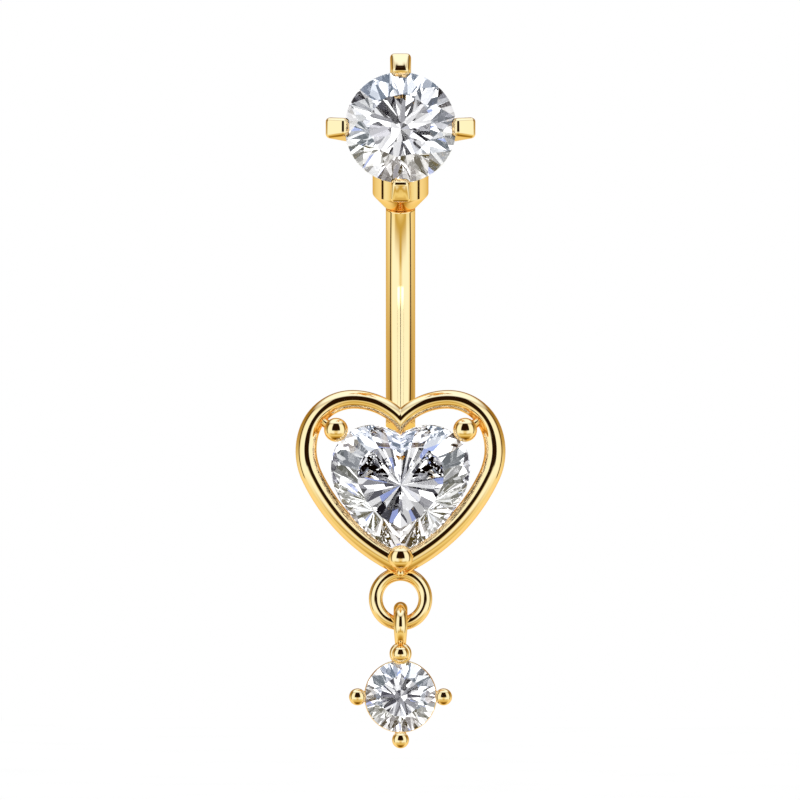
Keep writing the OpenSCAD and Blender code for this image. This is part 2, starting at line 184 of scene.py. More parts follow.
def place_piece(name, shape, body, node, smooth=True):
    """Turns a shape in millimetres into a finished piece that rides on its body."""
    bmesh.ops.scale(shape, vec=(MM, MM, MM), verts=shape.verts)
    mesh = bpy.data.meshes.new(name)
    shape.to_mesh(mesh)
    shape.free()
    mesh.polygons.foreach_set("use_smooth", [smooth] * len(mesh.polygons))
    piece = bpy.data.objects.new(name, mesh)
    scene.collection.objects.link(piece)
    if smooth:
        even = piece.modifiers.new("even_normals", "WEIGHTED_NORMAL")
        even.mode = "FACE_AREA_WITH_ANGLE"
        even.weight = 80
    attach(piece, body)
    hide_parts(node)
    size = [round(v / MM, 2) for v in piece.dimensions]
    print(name, "faces:", len(mesh.polygons), "size, mm:", size)
    return piece


# %% [markdown]
# A heart's outline is four arcs that run into each other, mirrored about the middle. The
# same few shares of the width draw the stone, the frame round it and the rail behind it,
# so the three stay alike. An arc is kept as its centre, radius and two end angles, which
# makes any point and its outward direction a matter of one angle.

# %% The heart's arcs
STONE_HEART = dict(lobe_x=0.2036, lobe=0.2965, dip_to=80, dip=0.31, side_from=8.4, side=0.399,
                   flank_from=-23.3, flank=0.85)
FRAME_HEART = dict(lobe_x=0.229, lobe=0.267, dip_to=90, dip=0.352, side_from=22, side=0.332,
                   flank_from=-25.4, flank=0.934)


def toward(degrees, length):
    return Vector((math.cos(math.radians(degrees)), math.sin(math.radians(degrees)))) * length


def heart_arcs(shape, width, inset=0.0):
    """The right half from the cleft to the tip: centre, radius, first and last angle."""
    lobe = Vector((shape["lobe_x"] * width, 0))
    dip = lobe - toward(shape["dip_to"], (shape["dip"] - shape["lobe"]) * width)
    side = lobe - toward(shape["side_from"], (shape["side"] - shape["lobe"]) * width)
    flank = side - toward(shape["flank_from"], (shape["flank"] - shape["side"]) * width)
    dip_r = shape["dip"] * width - inset
    flank_r = shape["flank"] * width - inset
    cleft = math.degrees(math.acos(-dip.x / dip_r))
    tip = -math.degrees(math.acos(-flank.x / flank_r))
    return [
        (dip, dip_r, cleft, shape["dip_to"]),
        (lobe, shape["lobe"] * width - inset, shape["dip_to"], shape["side_from"]),
        (side, shape["side"] * width - inset, shape["side_from"], shape["flank_from"]),
        (flank, flank_r, shape["flank_from"], tip)]


def heart_point(arcs, degrees):
    """The point of the outline whose outward direction has that angle."""
    for centre, radius, first, last in arcs:
        if degrees >= last - 1e-6:
            break
    return centre + toward(degrees, radius)


def heart_end(arcs, last=True):
    """Height of the tip, or of the cleft."""
    return heart_point(arcs, arcs[-1][3] if last else arcs[0][2]).y


# %% [markdown]
# The frame gives the places. The heart stone's point and front face fix the heart, the
# drop's hinge fixes the ring that it hangs in, and the bar's curve fixes the top.

# %% Places from the frame
HEART_W = 7.5
HEART_CROWN = 1.1
HEART_GIRDLE = 0.2
HEART_PROUD = 0.5
FRAME_W = 11.36
FRAME_LIFT = 0.095
stone_arcs = heart_arcs(STONE_HEART, HEART_W)
stone_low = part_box("heart_stone")[0]
heart_y = stone_low[1] / MM + HEART_CROWN + HEART_GIRDLE / 2
heart_z = stone_low[2] / MM - heart_end(stone_arcs)
frame_y = heart_y + HEART_PROUD
hinge = next(j for j in frame["joints"] if j["name"] == "drop_swing")["pos_m"]
ring_y, hinge_z = hinge[1] / MM, hinge[2] / MM
print("heart at", round(heart_y, 3), round(heart_z, 3), "hinge at", round(ring_y, 3), round(hinge_z, 3))


def facing(y, z, x=0.0):
    """The place of a shape that was drawn on its back, so that its Z faces the front."""
    return Matrix.Translation((x, y, z)) @ FRONT


in_heart = facing(heart_y, heart_z)

# %% [markdown]
# The bar is one round wire bent to a circle. A cylinder would need a curve modifier, so
# the section is pushed along the arc instead, and its reflections then run without a
# break. Its upper end carries a small threaded post, a coil swept round the bare post.

# %% The bar and its threaded post
BAR_D = 1.6
BAR_CURVE_R = 18.0
BAR_UP = 6.0
BAR_DOWN = 6.1
POST_D = 1.2
POST_L = 3.0
POST_ROOT = 0.5
POST_CHAMFER = 0.15
THREAD_PITCH = 0.25
THREAD_DEPTH = 0.035
THREAD_START = 0.2
THREAD_SINK = 0.03
THREAD_SHORT = 0.6
STEPS_A_TURN = 32
BAR_STEPS = 96
up = BAR_UP / BAR_CURVE_R
down = BAR_DOWN / BAR_CURVE_R


def on_bar(angle):
    """A point of the bar's centreline and the bar's heading there."""
    point = Vector((0, BAR_CURVE_R * (math.cos(angle) - 1), BAR_CURVE_R * math.sin(angle)))
    return point, Vector((0, -math.sin(angle), math.cos(angle)))


at_shoulder = Matrix.Translation(on_bar(up)[0]) @ Matrix.Rotation(up, 4, "X")
bar = bmesh.new()
turns = [-down + (up + down) * k / BAR_STEPS for k in range(BAR_STEPS + 1)]
join(bar, sweep([station(*on_bar(a), (1, 0, 0), BAR_D / 2) for a in turns], sides=64))
core = POST_D / 2 - THREAD_DEPTH
post_shape = [
    (0, -POST_ROOT), (core, -POST_ROOT), (core, POST_L - POST_CHAMFER),
    (core - POST_CHAMFER, POST_L), (0, POST_L)]
join(bar, lathe(post_shape), at_shoulder)
thread = bmesh.new()
ridge = [thread.verts.new(corner) for corner in (
    (core - THREAD_SINK, 0, THREAD_START),
    (core + THREAD_DEPTH, 0, THREAD_START + THREAD_PITCH * 0.4),
    (core - THREAD_SINK, 0, THREAD_START + THREAD_PITCH * 0.8))]
loop = [thread.edges.new((ridge[k], ridge[(k + 1) % 3])) for k in range(3)]
thread_turns = int((POST_L - THREAD_SHORT) / THREAD_PITCH)
bmesh.ops.spin(
    thread, geom=ridge + loop, cent=(0, 0, 0), axis=(0, 0, 1),
    dvec=(0, 0, THREAD_PITCH / STEPS_A_TURN), angle=math.tau * thread_turns,
    steps=STEPS_A_TURN * thread_turns, use_merge=False)
bmesh.ops.holes_fill(thread, edges=thread.edges[:], sides=3)
join(bar, thread, at_shoulder)
bar_piece = place_piece("bar", bar, "barbell", "heart_barbell")

# %% [markdown]
# The heart frame is bent from one round wire that grows thicker towards the tip. Its two
# halves meet at a crisp mitre. A curve with a bevel would round the two corners. So one
# half is swept past the middle, cut off there by a plane and mirrored, and the crease
# lies exactly in the middle. The wire's section leans a touch, as after bending.

# %% The heart frame
CLEFT_WIRE = 0.95
TIP_WIRE = 1.17
FRAME_LEAN = 0.05
PAST_MIDDLE = 10
GROW_RATE = 1.6
GROW_DELAY = 0.1


def heart_wire(shape, width, thin, thick, steps_an_arc=40, sides=48, lean=0.0):
    """A heart of round wire inside an outline, thin in the cleft and thick at the tip."""
    spine = []
    arcs = heart_arcs(shape, width, (thin + thick) / 4)
    for k, (centre, radius, first, last) in enumerate(arcs):
        first += PAST_MIDDLE if k == 0 else 0
        last -= PAST_MIDDLE / 2 if k == len(arcs) - 1 else 0
        for step in range(steps_an_arc + (k == len(arcs) - 1)):
            angle = first + (last - first) * step / steps_an_arc
            spine.append((centre, radius, angle))
    stations = []
    for k, (centre, radius, angle) in enumerate(spine):
        share = min(1, max(0, GROW_RATE * k / len(spine) - GROW_DELAY))
        wire = thin + (thick - thin) * share
        flat = centre + toward(angle, radius + (thin + thick) / 4 - wire / 2)
        heading = toward(angle - 90, 1)
        stations.append(station(
            (flat.x, flat.y, 0), (heading.x, heading.y, 0), (0, 0, 1), wire / 2, lean))
    half = sweep(stations, sides, capped=False)
    bmesh.ops.bisect_plane(
        half, geom=half.verts[:] + half.edges[:] + half.faces[:], dist=1e-6,
        plane_co=(0, 0, 0), plane_no=(-1, 0, 0), clear_outer=True)
    bmesh.ops.mirror(
        half, geom=half.verts[:] + half.edges[:] + half.faces[:], axis="X", merge_dist=1e-4)
    bmesh.ops.remove_doubles(half, verts=half.verts, dist=1e-4)
    return half


heart = bmesh.new()
in_frame = facing(frame_y, heart_z + FRAME_LIFT * FRAME_W)
join(heart, heart_wire(FRAME_HEART, FRAME_W, CLEFT_WIRE, TIP_WIRE, lean=FRAME_LEAN), in_frame)
heart_piece = place_piece("heart_frame", heart, "barbell", "heart_barbell")

# %% [markdown]
# The heart stone is held by three balls on posts. The posts stand on a thin rail behind
# the stone, and struts tie them to the frame. On the real piece these joints are
# soldered. Plain rods would look stuck together, so the rods flare where they meet
# other metal, and each post is a turned profile whose root can swell.

# %% Prongs, rail and stay behind the heart stone
POST_GAP = 0.06
HEART_POST = 0.8
LOBE_BALL = 1.3
LOBE_BALL_SINK = 0.12
BALL_RISE = 0.13
TIP_BALL = 1.34
TIP_BALL_OUT = 0.25
STONE_GAP = 0.04
RAIL_WIRE = 0.56
RAIL_GAP = 0.13
STRUT_WIRE = 0.5
NECK_WIRE = 0.5
HEART_PAVILION = 3.15
RAIL_SHARE = 0.72
STRUT_SINK = 0.15
BAR_FOOT_SINK = 0.4
CULET = Vector((0, -0.14 * HEART_W))
BALL_ANGLE = 43
lobe = stone_arcs[1][0]
tip = heart_end(stone_arcs)
cleft = heart_end(stone_arcs, last=False)
closest = min(
    radius + (centre - CULET).dot(toward(angle, 1))
    for centre, radius, *ends in stone_arcs for angle in ends)
steepest = math.atan(HEART_PAVILION / closest)
rail_back = (HEART_GIRDLE / 2 + (1 - RAIL_SHARE) * HEART_PAVILION
             + (RAIL_WIRE / 2 + RAIL_GAP) / math.cos(steepest))
post_back = rail_back + RAIL_WIRE / 4
post = lobe + toward(BALL_ANGLE, STONE_HEART["lobe"] * HEART_W + HEART_POST / 2 + POST_GAP)
frame_lobe = heart_arcs(FRAME_HEART, FRAME_W)[1][0] + Vector((0, FRAME_LIFT * FRAME_W))
out_way = (post - frame_lobe).normalized()
strut_end = frame_lobe + out_way * (FRAME_HEART["lobe"] * FRAME_W - CLEFT_WIRE / 2)
rail_lobe_r = RAIL_SHARE * STONE_HEART["lobe"] * HEART_W
rail_post = CULET + RAIL_SHARE * (lobe - CULET) + toward(BALL_ANGLE, rail_lobe_r)
lobe_lift = HEART_GIRDLE / 2 + LOBE_BALL / 2 - LOBE_BALL_SINK
tip_lift = HEART_GIRDLE / 2 + STONE_GAP + TIP_BALL / 2
tip_post = tip - POST_GAP - HEART_POST / 2


def back_post(ball_lift, width, root):
    """A prong's post from its rounded back end up to its ball, with a solder root."""
    r = width / 2
    return lathe([
        (0, -post_back - r * 0.35), (r * 0.6, -post_back - r * 0.3), (r * 0.95, -post_back),
        (r, -post_back + r * 0.5), (r, -HEART_PROUD - 0.55),
        (r + root * 0.25, -HEART_PROUD - 0.35), (r + root, -HEART_PROUD),
        (r + root * 0.6, -HEART_PROUD + 0.3), (r + root * 0.15, -HEART_PROUD + 0.55),
        (r, ball_lift - 0.35), (0, ball_lift)], steps=48)


prongs = bmesh.new()
for side in (1, -1):
    at_post = Matrix.Translation((side * post.x, post.y, 0))
    join(prongs, back_post(lobe_lift, HEART_POST, 0.0), in_heart @ at_post)
    join(prongs, ball(LOBE_BALL), in_heart @ at_post @ Matrix.Translation((0, BALL_RISE, lobe_lift)))
    join(prongs, rod((side * post.x, post.y, STRUT_SINK - HEART_PROUD),
                     (side * strut_end.x, strut_end.y, STRUT_SINK - HEART_PROUD),
                     NECK_WIRE, flare=0.12), in_heart)
    join(prongs, rod((side * rail_post.x, rail_post.y, -rail_back),
                     (side * post.x, post.y, -rail_back), STRUT_WIRE, flare=0.08), in_heart)
at_tip = Matrix.Translation((0, tip_post, 0))
join(prongs, back_post(tip_lift, HEART_POST, 0.4), in_heart @ at_tip)
join(prongs, ball(TIP_BALL), in_heart @ Matrix.Translation((0, tip - TIP_BALL_OUT, tip_lift)))
rail_tip = CULET.y + RAIL_SHARE * (tip - CULET.y)
rail_cleft = CULET.y + RAIL_SHARE * (cleft - CULET.y)
join(prongs, rod((0, rail_tip, -rail_back), (0, tip_post, -rail_back), STRUT_WIRE, flare=0.08), in_heart)
rail = heart_wire(
    STONE_HEART, HEART_W * RAIL_SHARE + RAIL_WIRE, RAIL_WIRE, RAIL_WIRE + 0.01,
    steps_an_arc=20, sides=24)
join(prongs, rail, in_heart @ Matrix.Translation((0, CULET.y * (1 - RAIL_SHARE), -rail_back)))
foot, _ = on_bar(-down)
stay_start = (0, foot.y, foot.z + BAR_FOOT_SINK)
stay_end = (0, heart_y + rail_back, heart_z + rail_cleft)
join(prongs, rod(stay_start, stay_end, RAIL_WIRE, flare=0.1))
prong_piece = place_piece("heart_prongs", prongs, "barbell", "heart_barbell")

# %% [markdown]
# The ring under the heart is closed and soldered behind the frame's tip. It could be
# swept like the heart's wire, but a full circle is simplest as a small circle spun once
# round. A small bead of solder fills the corner between ring, frame and prong.

# %% The hanging ring
RING_D = 3.44
RING_WIRE = 0.75
BEAD_D = 0.42
BEAD_SINK = 0.06
BEAD_BELOW = 0.64
ring_mid = (RING_D - RING_WIRE) / 2
ring = bmesh.new()
join(ring, torus(ring_mid, RING_WIRE, steps=128, sides=48), facing(ring_y, hinge_z + ring_mid))
bead_place = (0, frame_y - TIP_WIRE / 2 + BEAD_SINK, heart_z + tip_post - BEAD_BELOW)
join(ring, ball(BEAD_D), Matrix.Translation(bead_place))
ring_piece = place_piece("hanging_ring", ring, "barbell", "heart_barbell")

# %% [markdown]
# The top screws on. Its socket is turned on a lathe: a straight cup, a tapered foot and a
# bore for the post. Cylinders and cones could be joined instead, but one profile keeps
# bore, foot and cup in one closed skin. The claw base is a second turned shape, which
# looks forwards.

# %% The top's socket and claw base
SOCKET_D = 3.04
SOCKET_L = 4.6
SOCKET_TAPER = 0.78
BORE_D = 1.3
BORE_L = 3.2
SHOULDER_GAP = 0.04
TOP_STONE = 6.0
HEAD_REACH = 3.75
HEAD_RISE = 5.75
HEAD_TILT = 5
GIRDLE_SHARE = 0.03
PAVILION_SHARE = 0.43
CROWN_SHARE = 0.15
BASE_GAP = 0.38
BASE_FLOOR = 0.5
BASE_CUP = 1.2
BASE_FOOT_SHARE = 0.225
BASE_RIM_SHARE = 0.367
SOFT_EDGE = 0.07
head_turn = up + math.radians(HEAD_TILT)
at_head = (at_shoulder @ Matrix.Translation((0, -HEAD_REACH, HEAD_RISE))
           @ Matrix.Rotation(math.radians(90) - head_turn, 4, "X"))
top = bmesh.new()
join(top, lathe([
    (0, BORE_L), (BORE_D / 2, BORE_L), (BORE_D / 2, SHOULDER_GAP), (BAR_D / 2 + 0.05, SHOULDER_GAP),
    (SOCKET_D / 2, SOCKET_TAPER), (SOCKET_D / 2, SOCKET_L - 0.3), (SOCKET_D / 2 - 0.3, SOCKET_L),
    (0, SOCKET_L)], steps=96, edge=SOFT_EDGE), at_shoulder)
base_front = -(GIRDLE_SHARE / 2 + PAVILION_SHARE) * TOP_STONE - BASE_GAP
base_back = base_front - BASE_FLOOR
foot_r, rim_r = BASE_FOOT_SHARE * TOP_STONE, BASE_RIM_SHARE * TOP_STONE
join(top, lathe([
    (0, base_back), (foot_r, base_back), (rim_r, base_back + BASE_CUP),
    (rim_r - 0.5, base_back + BASE_CUP), (foot_r - 0.25, base_front), (0, base_front)],
    steps=96, edge=SOFT_EDGE), at_head)

# %% [markdown]
# Each claw is a leaning bar of nearly square section, a little narrower on the stone's
# side. Its end slopes back outwards and is polished to a low dome. It could be drawn as a
# profile and extruded. Here a cube's corners are moved to the claw's root and end, a
# rounded bevel breaks all its edges, and five shallow insets raise the dome.

# %% Four claws
CLAW_W = 1.18
CLAW_DEPTH = 1.16
CLAW_LEAN = 27
CLAW_TIP = 0.5
CLAW_INNER_W = 0.98
CLAW_END_TILT = 24
CLAW_EDGE = 0.26
CLAW_SINK = 0.03
DOME_STEP = 0.055
DOME_SLOPES = (12, 10, 8, 5, 2)


def claw():
    part = bmesh.new()
    bmesh.ops.create_cube(part, size=1)
    inner = TOP_STONE / 2 - CLAW_SINK
    shift = (CLAW_TIP - base_front) * math.tan(math.radians(CLAW_LEAN))
    for v in part.verts:
        at_end = v.co.z > 0
        outside = v.co.x > 0
        width = CLAW_W if outside else CLAW_INNER_W
        drop_of_end = CLAW_DEPTH * math.tan(math.radians(CLAW_END_TILT)) if outside else 0
        v.co = ((inner if at_end else inner - shift) + (CLAW_DEPTH if outside else 0),
                math.copysign(width / 2, v.co.y), CLAW_TIP - drop_of_end if at_end else base_front)
    round_edges(part, CLAW_EDGE, segments=6)
    near_end = [face for face in part.faces if face.calc_center_median().z > 0]
    end = max(near_end, key=lambda face: face.normal.z * face.calc_area())
    for slope in DOME_SLOPES:
        bmesh.ops.inset_region(
            part, faces=[end], thickness=DOME_STEP, depth=DOME_STEP * math.tan(math.radians(slope)))
    return part


for k in range(4):
    join(top, claw(), at_head @ Matrix.Rotation(math.radians(90 * k), 4, "Z"))
top_piece = place_piece("top_setting_metal", top, "top", "top_setting")

# %% [markdown]
# The drop hangs by a bail, a ring seen edge-on whose wire is thinnest at its foot. Below
# it a round lug joins the setting: two gallery rings, four leaning posts and four balls.
# A spun circle can't change its wire, so the bail is swept station by station instead.

# %% The drop's setting
DROP_STONE = 3.84
BAIL_H = 2.66
BAIL_WIRE = 0.76
BAIL_GAP = 0.05
BAIL_FOOT_WIRE = 0.6
BAIL_STEPS = 96
BASKET_SHARE = 0.415
FRONT_RING_SHARE = 0.43
DROP_BALL = 0.92
DROP_POST = 0.6
GALLERY_WIRE = 0.5
LUG_D = 1.2
drop_low, drop_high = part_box("drop_stone")
drop_z = (drop_low[2] + drop_high[2]) / 2 / MM
drop_y = drop_low[1] / MM + (GIRDLE_SHARE / 2 + CROWN_SHARE) * DROP_STONE
bail_mid = (BAIL_H - BAIL_WIRE) / 2
bail_z = hinge_z + RING_WIRE / 2 + BAIL_GAP + BAIL_WIRE / 2 - bail_mid
ball_r = DROP_STONE / 2 + DROP_BALL / 2 - 0.05
ball_lift = GIRDLE_SHARE * DROP_STONE / 2 + STONE_GAP + DROP_BALL / 4
lug_z = drop_z + ball_r
drop = bmesh.new()
bail = []
for k in range(BAIL_STEPS + 1):
    turn = math.tau * k / BAIL_STEPS
    way = Vector((0, math.sin(turn), math.cos(turn)))
    heading = Vector((0, math.cos(turn), -math.sin(turn)))
    wire = BAIL_WIRE + (BAIL_FOOT_WIRE - BAIL_WIRE) * max(0, -way.z)
    middle = Vector((0, ring_y, bail_z)) + way * bail_mid
    bail.append(station(middle, heading, (1, 0, 0), wire / 2))
bail_ring = sweep(bail, sides=32, capped=False)
bmesh.ops.remove_doubles(bail_ring, verts=bail_ring.verts, dist=1e-4)
join(drop, bail_ring)
lug = lathe([(0, -0.45), (LUG_D / 2, -0.45), (LUG_D / 2, 0.75), (0, 0.75)], steps=48, edge=0.2)
join(drop, lug, facing(ring_y, lug_z))
in_drop = facing(drop_y, drop_z)
basket_back = -(GIRDLE_SHARE / 2 + PAVILION_SHARE) * DROP_STONE - STONE_GAP
basket_r = BASKET_SHARE * DROP_STONE
for k in range(4):
    turned = in_drop @ Matrix.Rotation(math.radians(90 * k), 4, "Z")
    join(drop, rod((basket_r, 0, basket_back), (ball_r, 0, ball_lift), DROP_POST), turned)
    join(drop, ball(DROP_BALL), turned @ Matrix.Translation((ball_r, 0, ball_lift)))
front_r = DROP_STONE / 2 + 0.05 - GALLERY_WIRE / 2
for radius, back in ((front_r, FRONT_RING_SHARE * basket_back), (basket_r - 0.05, basket_back)):
    join(drop, torus(radius, GALLERY_WIRE, sides=24), in_drop @ Matrix.Translation((0, 0, back)))
drop_piece = place_piece("drop_setting_metal", drop, "drop", "drop_setting")

# %% [markdown]
# A stone is cut, not built up: it starts as a solid block in the stone's outline, and
# every facet is one plane that takes a slice off it, as on a cutter's wheel. A facet is
# told by the outline's point that it faces, how far out it meets the girdle and the
# height of the point over the middle that its plane runs through.

# %% The cutter's wheel


def cut(stone, point, normal):
    """Grinds off all that lies outside one plane and closes the stone with a new facet."""
    made = bmesh.ops.bisect_plane(
        stone, geom=stone.verts[:] + stone.edges[:] + stone.faces[:], dist=1e-6,
        plane_co=point, plane_no=normal, clear_outer=True)["geom_cut"]
    rim = [g for g in made if isinstance(g, bmesh.types.BMEdge)]
    bmesh.ops.holes_fill(stone, edges=rim, sides=0)


def facet(stone, edge, way, middle, reach, level, apex):
    """Cuts the facet that faces a way, through the outline's edge drawn out by a reach at
    one level, and through the apex, a height over the middle."""
    start = Vector((*(middle + (edge - middle) * reach), level))
    top_point = Vector((*middle, apex))
    along = Vector((-way.y, way.x, 0))
    normal = along.cross(top_point - start)
    if normal.dot(Vector((way.x, way.y, 0))) < 0:
        normal.negate()
    cut(stone, start, normal)


def settle(stone):
    """Merges the hairline corners that many cuts leave and turns all facets outwards."""
    bmesh.ops.remove_doubles(stone, verts=stone.verts, dist=2e-3)
    bmesh.ops.dissolve_degenerate(stone, edges=stone.edges, dist=1e-4)
    bmesh.ops.recalc_face_normals(stone, faces=stone.faces)


# %% [markdown]
# The round stones are brilliants with a rich cut: a table, then star, main and girdle
# facets on the crown, and mains and long girdle facets below. A last row of small facets
# runs round the girdle on both sides. Each facet is set a hair's breadth off.

# %% Round brilliants
TABLE_SHARE = 0.57
FOLDS = 10
HAND = 0.012
STAR_SLOPE = 0.42
CROWN_HALF_SLOPE = 0.80
PAVILION_HALF_SLOPE = 0.873
LAST_CROWN_SLOPE = 1.05
LAST_PAVILION_SLOPE = 0.98
LAST_REACH = 0.997


def by_hand(index):
    """A small uneven factor near 1, the same each time, as no two facets come out alike."""
    return 1 + HAND * math.sin(index * 12.9898 + 4.1)


def brilliant(diameter):
    """A round brilliant that looks along Z, with its girdle's middle at the origin."""
    stone = bmesh.new()
    r = diameter / 2
    half_girdle = GIRDLE_SHARE * diameter / 2
    top_level = half_girdle + CROWN_SHARE * diameter
    deep = half_girdle + PAVILION_SHARE * diameter
    bmesh.ops.create_cone(
        stone, cap_ends=True, segments=160, radius1=r, radius2=r, depth=2 * deep,
        matrix=Matrix.Rotation(math.radians(360 / 320), 4, "Z"))
    cut(stone, (0, 0, top_level), (0, 0, 1))
    middle = Vector((0, 0))
    turn = 360 / FOLDS
    crown_slope = CROWN_SHARE / (0.5 * (1 - TABLE_SHARE))
    star_meets = TABLE_SHARE * r * math.cos(math.radians(turn / 2))
    for k in range(FOLDS):
        main = toward(turn * k, 1)
        between = toward(turn * (k + 0.5), 1)
        facet(stone, main * r, main, middle, 1, half_girdle,
              half_girdle + crown_slope * r * by_hand(k))
        facet(stone, main * r, main, middle, 1, -half_girdle, -deep * by_hand(k + 40) ** 0.3)
        reach = (star_meets + (top_level - half_girdle) / STAR_SLOPE) / r
        facet(stone, between * r, between, middle, reach, half_girdle,
              half_girdle + STAR_SLOPE * reach * r * by_hand(k + 80))
    for k in range(2 * FOLDS):
        way = toward(turn * (k / 2 + 0.25), 1)
        reach = math.cos(math.radians(turn / 4))
        facet(stone, way * r, way, middle, reach, half_girdle,
              half_girdle + CROWN_HALF_SLOPE * r * by_hand(k + 120))
        facet(stone, way * r, way, middle, reach, -half_girdle,
              -half_girdle - PAVILION_HALF_SLOPE * r * by_hand(k + 160) ** 0.4)
    for k in range(4 * FOLDS):
        way = toward(turn * (k / 4 + 0.125), 1)
        reach = math.cos(math.radians(turn / 8)) * LAST_REACH
        facet(stone, way * r, way, middle, reach, half_girdle,
              half_girdle + LAST_CROWN_SLOPE * r * by_hand(k + 200) ** 2)
        facet(stone, way * r, way, middle, reach, -half_girdle,
              -half_girdle - LAST_PAVILION_SLOPE * r * by_hand(k + 260) ** 2)
    settle(stone)
    return stone


def place_stone(name, stone, place, body, node):
    """Sets a finished stone, flat-faced, in its seat."""
    piece = bmesh.new()
    join(piece, stone, place)
    return place_piece(name, piece, body, node, smooth=False)


TOP_TURN = Matrix.Rotation(math.radians(11), 4, "Z")
top_gem = place_stone("top_gem", brilliant(TOP_STONE), at_head @ TOP_TURN, "top", "top_stone")
drop_gem = place_stone("drop_gem", brilliant(DROP_STONE), in_drop, "drop", "drop_stone")

# %% [markdown]
# The heart stone is cut as one half, which bulges outwards everywhere, and mirrored. The
# valley under the cleft and the ridge at the tip then come by themselves, as they do on a
# real heart cut. The block is its floor extruded by itself and closed again, because
# extruding a region makes its sides in a new order each time, and the hairline corners
# and the facets' tints would follow it.

# %% The heart stone
HEART_TABLE = 0.62
CROWN_MAINS = [118, 92, 68, 44, 20, -4, -26, -44, -60]
PAVILION_MAINS = [122, 98, 76, 54, 32, 10, -12, -34, -54]
FINE_SHARES = (0.125, 0.375, 0.625, 0.875)
HEART_STAR_REACH = 1.22
CROWN_REACH = 0.99
PAVILION_REACH = 0.985


def heart_cut():
    """The heart stone, which looks along Z, with its girdle's middle at height 0."""
    stone = bmesh.new()

    def grind(angle, reach, level, apex):
        facet(stone, heart_point(stone_arcs, angle), toward(angle, 1), CULET, reach, level, apex)

    half_girdle = HEART_GIRDLE / 2
    top_level = half_girdle + HEART_CROWN
    deep = half_girdle + HEART_PAVILION
    outline = []
    for k, (centre, radius, first, last) in enumerate(stone_arcs):
        steps_here = (8, 24, 10, 16)[k]
        for step in range(steps_here + (k == 3)):
            outline.append(centre + toward(first + (last - first) * step / steps_here, radius))
    base = [stone.verts.new((p.x, p.y, -deep)) for p in outline]
    floor_face = stone.faces.new(base)
    lid = bmesh.ops.extrude_discrete_faces(stone, faces=[floor_face])["faces"][0]
    bmesh.ops.translate(stone, vec=(0, 0, deep + top_level), verts=lid.verts[:])
    bmesh.ops.holes_fill(stone, edges=stone.edges[:], sides=0)
    bmesh.ops.recalc_face_normals(stone, faces=stone.faces)
    slope = HEART_CROWN / (1 - HEART_TABLE)
    low, high = stone_arcs[-1][3], stone_arcs[0][2]
    for angle in CROWN_MAINS:
        grind(angle, 1, half_girdle, half_girdle + slope)
    for angle in PAVILION_MAINS:
        grind(angle, 1, -half_girdle, -deep)
    for first, second in zip(CROWN_MAINS, CROWN_MAINS[1:]):
        middle_way = (first + second) / 2
        grind(middle_way, HEART_STAR_REACH, half_girdle, half_girdle + slope * 0.80)
        for angle in ((first + middle_way) / 2, (second + middle_way) / 2):
            grind(angle, CROWN_REACH, half_girdle, half_girdle + slope * 1.22 * by_hand(angle))
        for share in FINE_SHARES:
            angle = first + (second - first) * share
            grind(angle, CROWN_REACH, half_girdle,
                  half_girdle + slope * 1.55 * by_hand(angle) ** 2)
    for first, second in zip([high] + PAVILION_MAINS, PAVILION_MAINS + [low]):
        middle_way = (first + second) / 2
        for angle in ((first + middle_way) / 2, (second + middle_way) / 2):
            grind(angle, PAVILION_REACH, -half_girdle, -deep * 1.045 * by_hand(angle) ** 0.4)
        for share in FINE_SHARES:
            angle = first + (second - first) * share
            grind(angle, PAVILION_REACH, -half_girdle, -deep * 1.16 * by_hand(angle) ** 2)
    seam = [f for f in stone.faces if all(abs(v.co.x) < 1e-4 for v in f.verts)]
    bmesh.ops.delete(stone, geom=seam, context="FACES_ONLY")
    bmesh.ops.mirror(
        stone, geom=stone.verts[:] + stone.edges[:] + stone.faces[:], axis="X", merge_dist=1e-3)
    settle(stone)
    return stone


heart_gem = place_stone("heart_gem", heart_cut(), in_heart, "barbell", "heart_stone")

# %% [markdown]
# Gold plating is one shared effect with its own values in each place: a polish that is
# never quite even, so the colour drifts a little between pale and deep gold, the gloss
# varies, and a very fine ripple bends the reflections. One plain colour would look like
# plastic. A node group keeps the effect in one place for all three kinds of gold.

# %% The plating as a shared node group


def socket_in(group, name, kind, value=None):
    made = group.interface.new_socket(name=name, in_out="INPUT", socket_type=kind)
    if value is not None:
        made.default_value = value


def new_node(tree, kind, **settings):
    node = tree.nodes.new(kind)
    for key, value in settings.items():
        setattr(node, key, value)
    return node


